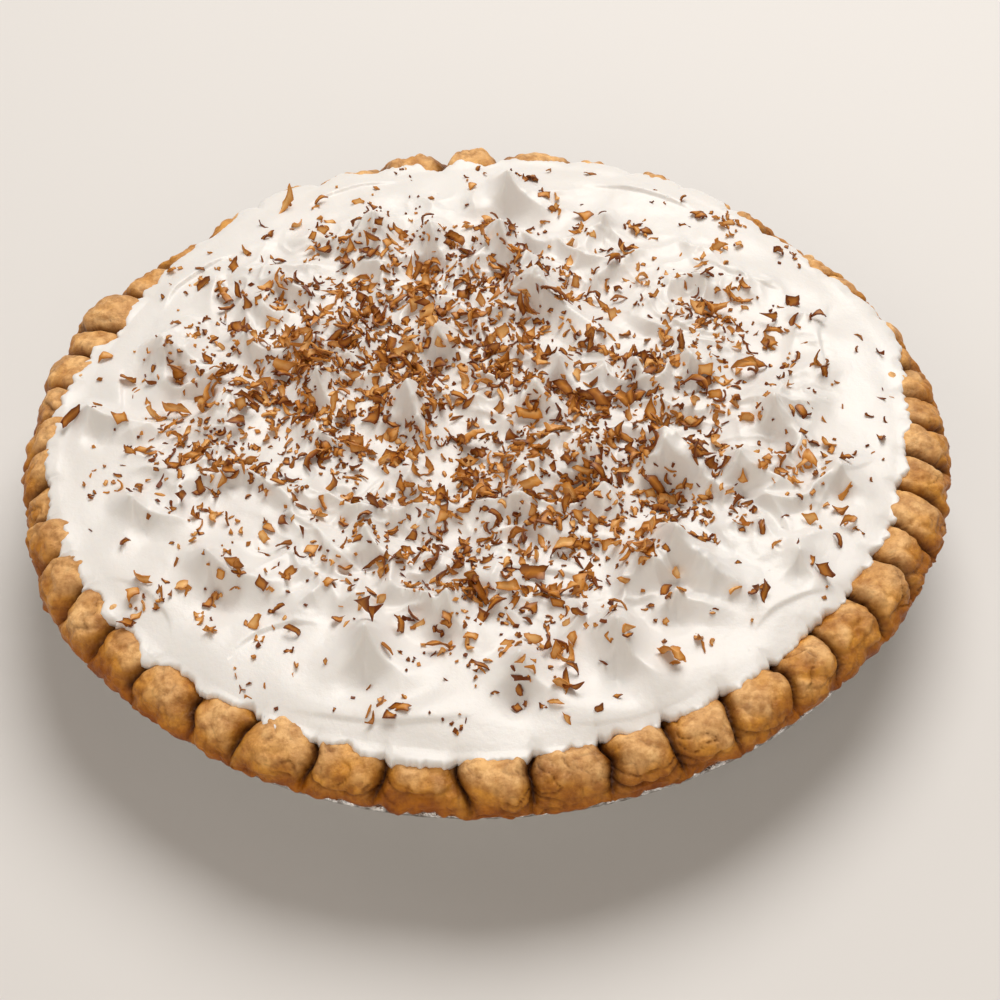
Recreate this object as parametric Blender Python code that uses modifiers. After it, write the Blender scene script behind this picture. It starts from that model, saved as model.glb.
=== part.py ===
"""Chocolate cream pie in its foil tin.

Three solids: the foil tin, the fluted pastry case with what it holds, and the whipped cream
with the largest chocolate shavings fused to it. Metres, +Z up, the tin stands on z = 0 and
the pie's axis is the Z axis. -Y is the front of the pie.
"""

import math
import random

import bmesh
import bpy
import numpy as np
from mathutils import Matrix, Vector, noise

# Foil tin
TIN_WALL = 0.0005
TIN_FLOOR_RADIUS = 0.0915
TIN_LIP_RADIUS = 0.1110
TIN_LIP_HEIGHT = 0.0270
TIN_RIM_RADIUS = 0.1182
TIN_BEAD_RADIUS = 0.0011
TIN_STEPS = 60

# Pastry case
CASE_GAP = 0.0008
CASE_STEPS = 432
CASE_TRIANGLES = 2800
FILLING_TOP = 0.0325
RIM_FOOT_RADIUS = 0.1020
FLUTES = 48
FLUTE_START = 0.8
FLUTE_JITTER = 0.4
FLUTE_SEED = 7
FLUTE_SQUARENESS = 3.4
FLUTE_NOTCH = 0.62

# The dough was pinched wider at front and back: waves round the rim, their size and start
FLUTE_DRIFTS = ((1, 4.0, 174.6), (2, 6.7, 168.7), (3, 1.3, 66.5))

# Rim outline over the middle of a flute and down in a groove: radius and height
FLUTE_TOP = (
    (0.1020, 0.0326), (0.1046, 0.0350), (0.1080, 0.0376), (0.1114, 0.0388), (0.1146, 0.0386), (0.1172, 0.0374),
    (0.1190, 0.0357), (0.1200, 0.0340), (0.1206, 0.0323), (0.1206, 0.0306), (0.1196, 0.0291), (0.1168, 0.0284),
)
GROOVE_TOP = (
    (0.1020, 0.0325), (0.1046, 0.0333), (0.1070, 0.0337), (0.1092, 0.0337), (0.1112, 0.0333), (0.1132, 0.0328),
    (0.1152, 0.0323), (0.1172, 0.0320), (0.1190, 0.0315), (0.1198, 0.0304), (0.1191, 0.0291), (0.1166, 0.0285),
)

# Stretches where the rim lies wider or narrower, and lower or higher: angle, width, and the
# added radius or the share of the height
RIM_SWELLS = (
    (350.0, 30.0, 0.0022), (200.0, 32.0, 0.0022), (38.0, 11.0, -0.0030), (131.0, 13.0, -0.0030),
    (90.0, 15.0, 0.0015), (270.0, 20.0, 0.0005),
)
RIM_SWELL_RUN = 0.0120
RIM_SAGS = ((38.0, 9.0, -0.26), (136.0, 9.0, -0.26), (92.0, 16.0, 0.10), (196.0, 20.0, 0.05))

# Whipped cream
CREAM_LEVEL = 0.0405
CREAM_DOME = 0.0022
CREAM_MEAN_RADIUS = 0.1115
CREAM_EDGE_LIMIT = 0.1174
CREAM_EDGE_THICKNESS = 0.0012
CREAM_SHOULDER = 0.0140
CREAM_UNDERSIDE = 0.0312
CREAM_UNDER_EDGE = 0.0348
CREAM_UNDER_RISE = (0.098, 0.110)
CREAM_CELLS = 132
CREAM_TRIANGLES = 3700
CREAM_GAP = 0.00035
CREAM_DRIFT = 0.0012
CREAM_SWELL = 0.0007
CREAM_FOLDS = 0.0020

# The spooned middle fades to a smoother rim of cream, wider on the calm front side
WORKED_RADIUS = 0.104
WORKED_FADE = 0.020
CALM_SIDE = 262.0
CALM_WIDTH = 55.0
CALM_DEPTH = 0.016

# How far out the cream was spread: angle and radius
CREAM_EDGE = (
    (0, 0.1130), (20, 0.1180), (36, 0.1160), (54, 0.1175), (74, 0.1165), (95, 0.1110), (122, 0.1165),
    (142, 0.1140), (162, 0.1145), (183, 0.1170), (205, 0.1145), (230, 0.1115), (258, 0.1120), (285, 0.1095),
    (315, 0.1080), (345, 0.1110),
)
EDGE_WAVES = 0.0010
EDGE_TONGUES = 0.0026

# Where the edge follows the flutes, out on them or down in the grooves: angle, width and size
CREAM_LOBES = ((285.0, 48.0, 0.0030), (208.0, 26.0, -0.0026), (124.0, 18.0, 0.0050), (52.0, 30.0, 0.0050))

# Spooned peaks: apex x and y, height, then the crest's right limb and left limb as
# heading in degrees and length
CREAM_PEAKS = (
    (0.010, 0.094, 0.0098, -38, 0.020, -140, 0.010), (0.007, 0.070, 0.0118, -50, 0.027, -115, 0.012),
    (-0.013, 0.071, 0.0112, -55, 0.018, -130, 0.012), (-0.029, 0.076, 0.0100, -71, 0.023, -140, 0.012),
    (0.014, 0.072, 0.0048, -8, 0.015, -120, 0.006), (0.016, 0.047, 0.0098, -38, 0.032, -150, 0.010),
    (0.037, 0.078, 0.0048, -50, 0.010, -140, 0.010), (-0.105, 0.007, 0.0068, -12, 0.026, -120, 0.010),
    (-0.086, 0.028, 0.0080, -30, 0.024, -100, 0.020), (-0.064, 0.030, 0.0072, -10, 0.016, -120, 0.010),
    (-0.055, 0.054, 0.0070, -10, 0.018, -130, 0.012), (-0.091, -0.028, 0.0070, -15, 0.019, -100, 0.010),
    (-0.044, 0.014, 0.0080, -56, 0.014, -140, 0.010), (-0.020, 0.004, 0.0112, -57, 0.023, -140, 0.012),
    (-0.012, 0.030, 0.0080, -35, 0.014, -140, 0.010), (0.021, 0.016, 0.0068, -55, 0.012, -140, 0.009),
    (0.014, 0.003, 0.0068, -33, 0.012, -150, 0.009), (0.026, -0.020, 0.0092, -62, 0.021, -140, 0.011),
    (-0.020, -0.024, 0.0048, -50, 0.010, -140, 0.010), (0.008, -0.035, 0.0066, -37, 0.014, -150, 0.010),
    (-0.031, -0.044, 0.0080, -45, 0.015, -140, 0.010), (0.046, -0.021, 0.0108, -25, 0.016, -145, 0.012),
    (0.056, 0.014, 0.0068, -20, 0.011, -150, 0.010), (0.065, -0.026, 0.0086, -17, 0.018, -150, 0.012),
    (0.076, -0.006, 0.0070, -45, 0.014, -150, 0.010), (0.091, -0.027, 0.0048, -30, 0.009, -150, 0.008),
    (-0.070, -0.051, 0.0096, -15, 0.024, -110, 0.010), (-0.031, -0.078, 0.0106, -40, 0.015, -140, 0.013),
    (-0.011, -0.067, 0.0086, -55, 0.014, -140, 0.009), (0.006, -0.087, 0.0086, -40, 0.013, -150, 0.011),
    (0.030, -0.080, 0.0112, -45, 0.018, -120, 0.010), (0.046, -0.054, 0.0102, -32, 0.021, -140, 0.014),
    (0.045, -0.067, 0.0050, -9, 0.017, -160, 0.010), (0.077, -0.055, 0.0046, -50, 0.010, -140, 0.009),
    (0.089, 0.034, 0.0026, 260, 0.024, 120, 0.006), (0.041, 0.013, 0.0070, -50, 0.014, -140, 0.009),
    (-0.074, 0.060, 0.0024, -88, 0.016, 90, 0.006),
)
LIMB_STEPS = 12
LIMB_CURL = 20.0
PEAK_TALL = 0.0090
PEAK_FRONT = 0.0088
PEAK_BACK = 0.0125
PEAK_SIDE = 0.0078
PEAK_TIP = 0.055
PEAK_REACH = 0.028
PEAK_FADE = 0.008
HOLLOW_AHEAD = 0.0070
HOLLOW_RADIUS = 0.0056
HOLLOW_SHARE = 0.30

# Chocolate shavings. Where they lie thick: x, y, spread and weight
SHAVING_BEDS = (
    (-0.040, 0.036, 0.017, 10), (-0.010, 0.048, 0.015, 8), (0.002, 0.028, 0.016, 8), (-0.060, 0.016, 0.013, 8),
    (-0.078, -0.006, 0.011, 6), (-0.034, 0.004, 0.014, 8), (0.006, 0.000, 0.017, 9), (0.026, -0.008, 0.014, 8),
    (0.024, -0.032, 0.014, 7), (-0.012, -0.050, 0.013, 7), (0.036, -0.046, 0.011, 6), (0.060, 0.036, 0.010, 5),
    (0.070, 0.008, 0.014, 7), (0.044, 0.012, 0.012, 6), (0.048, -0.024, 0.012, 5), (0.074, -0.032, 0.010, 3),
    (-0.060, -0.052, 0.011, 3), (0.006, -0.072, 0.012, 5), (-0.030, 0.062, 0.014, 5), (-0.052, -0.014, 0.014, 6),
    (0.000, 0.000, 0.062, 30),
)
SHAVING_SEED = 41
SHAVINGS = 100
BOWED_SHAVINGS = 36
SHAVING_LONGEST = 0.0096
SHAVING_SHORTEST = 0.0052
SHAVING_THICKNESS = 0.0009
SHAVING_SPACING = 0.0076
SHAVING_REACH = 0.104


def clear_scene():
    for item in list(bpy.data.objects):
        bpy.data.objects.remove(item)


def make_collection(name):
    group = bpy.data.collections.new(name)
    bpy.context.scene.collection.children.link(group)
    return group


def finish(name, colour, roughness, metallic=0.0):
    made = bpy.data.materials.new(name)
    made.use_nodes = True
    shader = made.node_tree.nodes["Principled BSDF"]
    shader.inputs["Base Color"].default_value = (*colour, 1.0)
    shader.inputs["Roughness"].default_value = roughness
    shader.inputs["Metallic"].default_value = metallic
    return made


def apply_modifiers(item):
    """Keeps the item's shape as its modifiers leave it."""
    graph = bpy.context.evaluated_depsgraph_get()
    shaped = bpy.data.meshes.new_from_object(item.evaluated_get(graph))
    item.modifiers.clear()
    item.data = shaped


def turned(name, profile, steps, group):
    """A profile of (radius, height) points turned about Z, down its outer side."""
    mesh = bpy.data.meshes.new(name)
    mesh.from_pydata([(radius, 0.0, height) for radius, height in profile],
                     [(i, i + 1) for i in range(len(profile) - 1)], [])
    item = bpy.data.objects.new(name, mesh)
    group.objects.link(item)
    screw = item.modifiers.new("turn", "SCREW")
    screw.steps = steps
    screw.render_steps = steps
    screw.use_merge_vertices = True
    screw.merge_threshold = 0.00001
    apply_modifiers(item)
    return item


def thin_out(item, triangles):
    """Fewer triangles, kept where the surface bends."""
    count = sum(len(face.vertices) - 2 for face in item.data.polygons)
    fewer = item.modifiers.new("thin_out", "DECIMATE")
    fewer.ratio = triangles / count
    fewer.use_collapse_triangulate = True
    apply_modifiers(item)


def corners(item):
    places = np.empty(len(item.data.vertices) * 3)
    item.data.vertices.foreach_get("co", places)
    return places.reshape(-1, 3)


def set_corners(item, places):
    item.data.vertices.foreach_set("co", places.ravel())
    item.data.update()


def shade(item, angle):
    item.data.shade_smooth()
    item.data.set_sharp_from_angle(angle=math.radians(angle))


def bump(turn, centre, width):
    """A smooth hump round the pie: 1 at its centre, all in degrees."""
    away = (turn - centre + 180.0) % 360.0 - 180.0
    return np.exp(-((away / width) ** 2))


def ease(value):
    value = np.clip(value, 0.0, 1.0)
    return value * value * (3.0 - 2.0 * value)


def wander(x, y, scale, seed):
    """Soft noise over the plan, about -1 to 1."""
    points = zip((x * scale).tolist(), (y * scale).tolist())
    return np.array([noise.noise(Vector((a, b, seed))) for a, b in points])


def groove_angles():
    """Where one flute meets the next, in radians from +X."""
    draw = random.Random(FLUTE_SEED)
    angles = []
    for k in range(FLUTES):
        even = 360.0 * k / FLUTES
        turn = FLUTE_START + even + draw.uniform(-FLUTE_JITTER, FLUTE_JITTER)
        for waves, size, start in FLUTE_DRIFTS:
            turn += size * math.sin(math.radians(waves * even + start))
        angles.append(math.radians(turn % 360.0))
    return np.sort(angles)


GROOVES = groove_angles()


def flute_fullness(angle):
    """1 over the middle of a flute, 0 in a groove."""
    angle = np.mod(angle, 2.0 * math.pi)
    k = np.searchsorted(GROOVES, angle, side="right")
    start = np.where(k > 0, GROOVES[k - 1], GROOVES[-1] - 2.0 * math.pi)
    end = np.where(k < FLUTES, GROOVES[k % FLUTES], GROOVES[0] + 2.0 * math.pi)
    across = 2.0 * (angle - start) / (end - start) - 1.0
    return (1.0 - np.abs(across) ** FLUTE_SQUARENESS) ** FLUTE_NOTCH


def rim_placed(angle, radius, height):
    """The rim's outline swollen and lowered as the baked edge is."""
    turn = np.degrees(angle) % 360.0
    swell = sum(more * bump(turn, centre, width) for centre, width, more in RIM_SWELLS)
    share = 1.0 + sum(more * bump(turn, centre, width) for centre, width, more in RIM_SAGS)
    bottom = GROOVE_TOP[-1][1]
    lifted = np.where(height > bottom, bottom + (height - bottom) * share, height)
    return radius + swell * ease((radius - RIM_FOOT_RADIUS) / RIM_SWELL_RUN), lifted


def rim_point(angle, station):
    """Points of the fluted rim: radius and height, each at its station of the outline."""
    full = flute_fullness(angle)[:, None]
    outline = np.array(GROOVE_TOP)[station] * (1.0 - full) + np.array(FLUTE_TOP)[station] * full
    return rim_placed(angle, outline[:, 0], outline[:, 1])


def make_tin(group):
    inner = [
        (0.0, TIN_WALL),
        (TIN_FLOOR_RADIUS, TIN_WALL),
        (TIN_LIP_RADIUS, TIN_LIP_HEIGHT + TIN_WALL),
    ]
    bead = []
    for k in range(6):
        turn = math.radians(150.0 - 56.0 * k)
        bead.append((TIN_RIM_RADIUS + TIN_BEAD_RADIUS * math.cos(turn),
                     TIN_LIP_HEIGHT - 0.0002 + TIN_BEAD_RADIUS * math.sin(turn)))
    outer = [
        (TIN_LIP_RADIUS + TIN_WALL, TIN_LIP_HEIGHT),
        (TIN_FLOOR_RADIUS + TIN_WALL, 0.0),
        (0.0, 0.0),
    ]
    tin = turned("foil_tin", inner + bead + outer, TIN_STEPS, group)
    shade(tin, 50)
    tin.data.materials.append(finish("foil", (0.80, 0.81, 0.82), 0.25, 1.0))
    return tin


def make_case(group):
    """The pastry case, solid to the top of what it holds, with its fluted rim."""
    rim = list(FLUTE_TOP)
    seat = TIN_LIP_HEIGHT + TIN_WALL + CASE_GAP
    lip = TIN_LIP_RADIUS - CASE_GAP
    floor = TIN_FLOOR_RADIUS - CASE_GAP
    profile = [(0.0, FILLING_TOP), (0.060, FILLING_TOP), (0.096, FILLING_TOP)]
    profile += rim
    profile += [(lip, seat), (floor, TIN_WALL + CASE_GAP), (0.0, TIN_WALL + CASE_GAP)]
    case = turned("pastry_case", profile, CASE_STEPS, group)

    stations = {(round(radius, 6), round(height, 6)): k for k, (radius, height) in enumerate(rim)}
    places = corners(case)
    radius = np.hypot(places[:, 0], places[:, 1])
    angle = np.arctan2(places[:, 1], places[:, 0])
    keys = zip(np.round(radius, 6).tolist(), np.round(places[:, 2], 6).tolist())
    station = np.array([stations.get(key, -1) for key in keys])
    on_rim = station >= 0
    radius, height = rim_point(angle[on_rim], station[on_rim])
    places[on_rim] = np.stack((radius * np.cos(angle[on_rim]), radius * np.sin(angle[on_rim]), height), 1)
    set_corners(case, places)
    thin_out(case, CASE_TRIANGLES)
    shade(case, 40)
    case.data.materials.append(finish("pastry", (0.62, 0.37, 0.15), 0.5))
    return case


def spread_radius(angle):
    """How far out the cream was spread."""
    turns, radii = zip(*CREAM_EDGE)
    waves = wander(np.cos(angle), np.sin(angle), 4.2, 0.0)
    return np.interp(np.degrees(angle) % 360.0, turns, radii, period=360.0) + EDGE_WAVES * waves


def edge_radius(angle):
    """The cream's edge: tongues on the flutes at the front, in the grooves at the left."""
    turn = np.degrees(angle) % 360.0
    lobes = flute_fullness(angle) - 0.7
    lobes = lobes * sum(size * bump(turn, centre, width) for centre, width, size in CREAM_LOBES)
    tongues = EDGE_TONGUES * wander(np.cos(angle), np.sin(angle), 14.0, 5.0)
    limit, _ = rim_placed(angle, np.full_like(angle, CREAM_EDGE_LIMIT), 0.0)
    return np.minimum(spread_radius(angle) + lobes + tongues, limit)


def limb(peak, heading, length, turn, fade):
    """Points along one side of a crest, curving as it runs down from the apex."""
    x, y, height = peak[:3]
    points = []
    for k in range(LIMB_STEPS + 1):
        share = k / LIMB_STEPS
        points.append((x, y, height * (1.0 - share) ** fade))
        way = math.radians(heading + turn * (2.0 * share - 1.0))
        x += math.cos(way) * length / LIMB_STEPS
        y += math.sin(way) * length / LIMB_STEPS
    return points


def peak_rise(x, y, peak):
    """A sharp bowed crest, easy behind, steep and hollow in front."""
    height, right, right_length, left, left_length = peak[2:]
    crest = limb(peak, right, right_length, LIMB_CURL, 1.0) + limb(peak, left, left_length, -LIMB_CURL, 1.2)
    ahead_x = math.cos(math.radians(right)) + math.cos(math.radians(left))
    ahead_y = math.sin(math.radians(right)) + math.sin(math.radians(left))
    size = math.hypot(ahead_x, ahead_y)
    ahead_x, ahead_y = ahead_x / size, ahead_y / size
    reach = (height / PEAK_TALL) ** 0.6
    rise = np.zeros_like(x)
    for crest_x, crest_y, crest_height in crest:
        ahead = (x - crest_x) * ahead_x + (y - crest_y) * ahead_y
        side = (y - crest_y) * ahead_x - (x - crest_x) * ahead_y
        stretch = np.where(ahead > 0.0, PEAK_FRONT, PEAK_BACK) * reach
        away = np.sqrt((ahead / stretch) ** 2 + (side / (PEAK_SIDE * reach)) ** 2 + PEAK_TIP ** 2) - PEAK_TIP
        rise = np.maximum(rise, crest_height * np.clip(1.0 - away, 0.0, 1.0) ** 1.5)
    middle_x = peak[0] + ahead_x * HOLLOW_AHEAD * reach
    middle_y = peak[1] + ahead_y * HOLLOW_AHEAD * reach
    hollow = np.exp(-((x - middle_x) ** 2 + (y - middle_y) ** 2) / (HOLLOW_RADIUS * reach) ** 2)
    return rise, HOLLOW_SHARE * height * hollow


def cream_height(x, y):
    """Height of the cream's surface over the plan."""
    radius = np.hypot(x, y)
    angle = np.arctan2(y, x)
    inward = edge_radius(angle) - radius
    drift = wander(x, y, 45.0, 3.0)
    swell = wander(x + 0.004 * drift, y - 0.004 * drift, 95.0, 9.0)
    folds = wander(x + 0.006 * swell, y + 0.008 * drift, 62.0, 21.0)
    calm = CALM_DEPTH * bump(np.degrees(angle) % 360.0, CALM_SIDE, CALM_WIDTH)
    worked = ease((WORKED_RADIUS - calm - radius) / WORKED_FADE) * ease(0.55 + 1.2 * drift)
    level = CREAM_LEVEL + CREAM_DOME * (1.0 - (radius / CREAM_MEAN_RADIUS) ** 2)
    level = level + CREAM_DRIFT * drift + CREAM_SWELL * swell
    level = level + worked * CREAM_FOLDS * np.clip(1.0 - 2.4 * np.abs(folds), 0.0, 1.0) ** 1.8
    rises = np.zeros_like(x)
    hollows = np.zeros_like(x)
    for peak in CREAM_PEAKS:
        near = np.hypot(x - peak[0], y - peak[1]) < peak[4] + PEAK_REACH
        rise, hollow = peak_rise(x[near], y[near], peak)
        rises[near] += rise ** 3
        hollows[near] += hollow
    level = level + (np.cbrt(rises) - hollows) * ease(inward / PEAK_FADE)
    radii, heights = zip(*FLUTE_TOP[:9])
    _, rest = rim_placed(angle, radius, np.interp(radius, radii, heights))
    edge = rest + CREAM_EDGE_THICKNESS
    shoulder = np.clip((spread_radius(angle) - radius) / CREAM_SHOULDER, 0.0, 1.0)
    return edge + (level - edge) * (1.0 - (1.0 - shoulder) ** 2)


def make_cream_body(group):
    """A grid rounded to a disc, closed below, its top raised to the cream's surface."""
    body = bmesh.new()
    bmesh.ops.create_grid(body, x_segments=CREAM_CELLS, y_segments=CREAM_CELLS, size=1.0)
    raised = bmesh.ops.extrude_face_region(body, geom=list(body.faces))
    for part in raised["geom"]:
        if isinstance(part, bmesh.types.BMVert):
            part.co.z = 1.0
    bmesh.ops.recalc_face_normals(body, faces=body.faces)
    mesh = bpy.data.meshes.new("cream")
    body.to_mesh(mesh)
    body.free()
    cream = bpy.data.objects.new("cream", mesh)
    group.objects.link(cream)

    square = corners(cream)
    x = square[:, 0] * np.sqrt(1.0 - square[:, 1] ** 2 / 2.0)
    y = square[:, 1] * np.sqrt(1.0 - square[:, 0] ** 2 / 2.0)
    share = ease((np.hypot(x, y) - 0.5) / 0.5)
    scale = CREAM_MEAN_RADIUS + (edge_radius(np.arctan2(y, x)) - CREAM_MEAN_RADIUS) * share
    x, y = x * scale, y * scale
    rising = ease((np.hypot(x, y) - CREAM_UNDER_RISE[0]) / (CREAM_UNDER_RISE[1] - CREAM_UNDER_RISE[0]))
    under_height = CREAM_UNDERSIDE + (CREAM_UNDER_EDGE - CREAM_UNDERSIDE) * rising
    height = np.where(square[:, 2] > 0.5, cream_height(x, y), under_height)
    set_corners(cream, np.stack((x, y, height), 1))
    thin_out(cream, CREAM_TRIANGLES)
    return cream


def fit_on_case(cream, case, cutters):
    """Cuts the cream round the pastry, with the small gap that touching solids keep."""
    cutter = case.copy()
    cutter.data = case.data.copy()
    cutter.name = "case_cutter"
    cutter.hide_render = True
    cutter.display_type = "WIRE"
    cutters.objects.link(cutter)
    swell = cutter.modifiers.new("swell", "DISPLACE")
    swell.strength = CREAM_GAP
    swell.mid_level = 0.0
    cut = cream.modifiers.new("fit", "BOOLEAN")
    cut.operation = "DIFFERENCE"
    cut.object = cutter
    cut.use_self = True
    apply_modifiers(cream)
    bpy.data.objects.remove(cutter)


def shaving_places():
    """Where the largest shavings lie: x, y, length and heading, thickest on the beds."""
    draw = random.Random(SHAVING_SEED)
    weights = [bed[3] for bed in SHAVING_BEDS]
    places = []
    while len(places) < SHAVINGS:
        bed_x, bed_y, spread, _ = draw.choices(SHAVING_BEDS, weights)[0]
        x = draw.gauss(bed_x, spread)
        y = draw.gauss(bed_y, spread)
        heading = draw.uniform(0.0, 2.0 * math.pi)
        length = SHAVING_LONGEST + (SHAVING_SHORTEST - SHAVING_LONGEST) * len(places) / SHAVINGS
        near = any(math.hypot(x - other[0], y - other[1]) < SHAVING_SPACING for other in places)
        if math.hypot(x, y) < SHAVING_REACH and not near:
            places.append((x, y, length, heading))
    return places


def make_shaving(index, place, group):
    """One tapering flake, sunk a little in the cream; the longest are bowed."""
    x, y, length, heading = place
    draw = random.Random(SHAVING_SEED + index + 1)
    width = length * draw.uniform(0.34, 0.52)
    bow = length * draw.uniform(0.05, 0.14)
    flake = bmesh.new()
    bmesh.ops.create_cube(flake, size=1.0)
    if index < BOWED_SHAVINGS:
        lengthwise = [edge for edge in flake.edges
                      if abs(edge.verts[0].co.x - edge.verts[1].co.x) > 0.5]
        bmesh.ops.subdivide_edges(flake, edges=lengthwise, cuts=1)
    for vertex in flake.verts:
        tip = abs(vertex.co.x) * 2.0
        vertex.co.y *= width * (1.0 - draw.uniform(0.2, 0.6) * tip)
        vertex.co.z = vertex.co.z * SHAVING_THICKNESS + bow * (1.0 - tip * tip)
        vertex.co.x *= length
    tilt = Matrix.Rotation(draw.uniform(-0.5, 0.5), 4, "X") @ Matrix.Rotation(draw.uniform(-0.25, 0.25), 4, "Y")
    rest = Vector((x, y, cream_height(np.array([x]), np.array([y]))[0] + 0.0003))
    flake.transform(Matrix.Translation(rest) @ Matrix.Rotation(heading, 4, "Z") @ tilt)
    mesh = bpy.data.meshes.new("shaving")
    flake.to_mesh(mesh)
    flake.free()
    item = bpy.data.objects.new(f"shaving_{index}", mesh)
    group.objects.link(item)


def fuse_shavings(cream):
    """Joins the shavings to the cream as one solid."""
    flakes = make_collection("shavings")
    for index, place in enumerate(shaving_places()):
        make_shaving(index, place, flakes)
    join = cream.modifiers.new("fuse", "BOOLEAN")
    join.operation = "UNION"
    join.operand_type = "COLLECTION"
    join.collection = flakes
    join.solver = "EXACT"
    apply_modifiers(cream)
    for item in list(flakes.objects):
        bpy.data.objects.remove(item)


def keep_largest_piece(item):
    """Drops any loose scrap that the joining left."""
    body = bmesh.new()
    body.from_mesh(item.data)
    waiting = set(body.verts)
    pieces = []
    while waiting:
        front = [waiting.pop()]
        piece = list(front)
        while front:
            vertex = front.pop()
            for edge in vertex.link_edges:
                other = edge.other_vert(vertex)
                if other in waiting:
                    waiting.remove(other)
                    front.append(other)
                    piece.append(other)
        pieces.append(piece)
    pieces.sort(key=len)
    for piece in pieces[:-1]:
        bmesh.ops.delete(body, geom=piece, context="VERTS")
    body.to_mesh(item.data)
    body.free()


def main():
    clear_scene()
    pie = make_collection("chocolate_cream_pie")
    cutters = make_collection("cutters")
    make_tin(pie)
    case = make_case(pie)
    cream = make_cream_body(pie)
    fit_on_case(cream, case, cutters)
    fuse_shavings(cream)
    keep_largest_piece(cream)
    shade(cream, 35)
    cream.data.materials.clear()
    cream.data.materials.append(finish("whipped_cream", (0.90, 0.89, 0.87), 0.4))


main()
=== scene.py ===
import math
import random

import bpy
import numpy as np
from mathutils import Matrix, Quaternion, Vector, noise


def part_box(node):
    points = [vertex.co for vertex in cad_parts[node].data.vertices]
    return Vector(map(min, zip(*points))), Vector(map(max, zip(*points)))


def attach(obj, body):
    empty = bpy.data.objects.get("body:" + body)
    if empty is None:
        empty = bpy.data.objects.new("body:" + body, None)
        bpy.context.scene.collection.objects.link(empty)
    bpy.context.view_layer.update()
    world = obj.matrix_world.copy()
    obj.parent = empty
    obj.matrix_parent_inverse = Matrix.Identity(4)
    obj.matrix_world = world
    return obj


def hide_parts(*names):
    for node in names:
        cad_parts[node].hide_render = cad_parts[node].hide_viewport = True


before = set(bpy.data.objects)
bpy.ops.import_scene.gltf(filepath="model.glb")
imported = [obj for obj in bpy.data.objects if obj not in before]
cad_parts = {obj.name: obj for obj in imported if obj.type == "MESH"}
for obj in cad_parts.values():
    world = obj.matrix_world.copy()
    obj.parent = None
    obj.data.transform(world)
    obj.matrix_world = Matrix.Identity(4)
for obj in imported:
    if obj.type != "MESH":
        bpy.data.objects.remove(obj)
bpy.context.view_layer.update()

# Photo camera: place, aim and roll
CAMERA_PLACE = Vector((0.0, -0.4568, 0.4869))
CAMERA_AIM = Vector((0.0051, 0.6925, -0.7220))
CAMERA_ROLL = math.radians(-2.16)
CAMERA_LENS = 86.4
CAMERA_SENSOR = 36.0
CAMERA_NEAR = 0.05

# Foil tin. The radius of its rolled rim comes from the frame
_, TIN_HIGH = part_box("foil_tin")
TIN_WALL = 0.0004
TIN_FLOOR_MIDDLE = 0.0500
TIN_FLOOR_RADIUS = 0.0915
TIN_FLOOR_EDGE = TIN_FLOOR_RADIUS - 0.0020
TIN_FOOT_RADIUS = TIN_FLOOR_RADIUS + 0.0006
TIN_FOOT_HEIGHT = 0.0016
TIN_LIP_RADIUS = 0.1110
TIN_LIP_HEIGHT = 0.0270
TIN_FLANGE = (0.1135, 0.1158)
TIN_CLIMB_STEPS = 6
TIN_BEAD_RADIUS = 0.0011
TIN_BEAD_DROP = 0.0002
TIN_BEAD_START = 155.0
TIN_BEAD_TURN = 310.0
TIN_BEAD_STEPS = 10
TIN_RIM_RADIUS = TIN_HIGH.x - TIN_BEAD_RADIUS
TIN_STEPS = 1440
TIN_SMOOTH_ANGLE = 50.0

# Pleats down the tin's wall, with their noise as scale and seed
FOIL_PLEATS = 96.0
FOIL_PLEAT_DEPTH = 0.00038
FOIL_PLEAT_WANDER = 2.4
FOIL_PLEAT_NOISE = (26.0, 2.0)

# Crinkles of the tin's rim: size, scale and seed
FOIL_CRINKLES = ((0.00050, 72.0, 6.0), (0.00036, 150.0, 12.0))
FOIL_CRINKLE_LIFT = 0.6
FOIL_FADE = 0.004
# Least share of crumpling bumps and painted glints, on the tin's wall
FOIL_LEAST_CRUMPLE_AND_GLINTS = 0.06

# Pastry case, solid to the top of what it holds
CASE_GAP = 0.0006
CASE_INSET = 0.0010
CASE_FLOOR = 0.0012
CASE_STEPS = 1440
FILLING_TOP = 0.0325
FILLING_RINGS = (0.0, 0.060, 0.096)

# The rim before it is shaped: a flat ring with one circle for each station of its outline
RIM_STEPS = 60
RIM_START = 0.1020
RIM_SPACING = 0.0003
RIM_RING_HEIGHT = FILLING_TOP + 0.001

# Flutes, and how their spacing drifts: waves round the pie, size and start in degrees
FLUTES = 48
FLUTE_START = 0.8
FLUTE_JITTER = 0.4
FLUTE_SEED = 7
FLUTE_DRIFTS = ((1, 4.0, 174.6), (2, 6.7, 168.7), (3, 1.3, 66.5))
FLUTE_SQUARENESS = 3.2
FLUTE_NOTCH = 0.55

# Rim outline over the middle of a flute and down in a groove: radius and height
FLUTE_TOP = (
    (0.1020, 0.0326), (0.1046, 0.0350), (0.1080, 0.0376), (0.1114, 0.0388), (0.1146, 0.0386),
    (0.1172, 0.0374), (0.1190, 0.0357), (0.1200, 0.0340), (0.1206, 0.0323), (0.1206, 0.0306),
    (0.1196, 0.0291), (0.1168, 0.0284),
)
GROOVE_TOP = (
    (0.1020, 0.0325), (0.1046, 0.0333), (0.1070, 0.0337), (0.1092, 0.0337), (0.1112, 0.0333),
    (0.1130, 0.0328), (0.1147, 0.0323), (0.1163, 0.0318), (0.1178, 0.0311), (0.1190, 0.0302),
    (0.1187, 0.0291), (0.1166, 0.0285),
)

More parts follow.
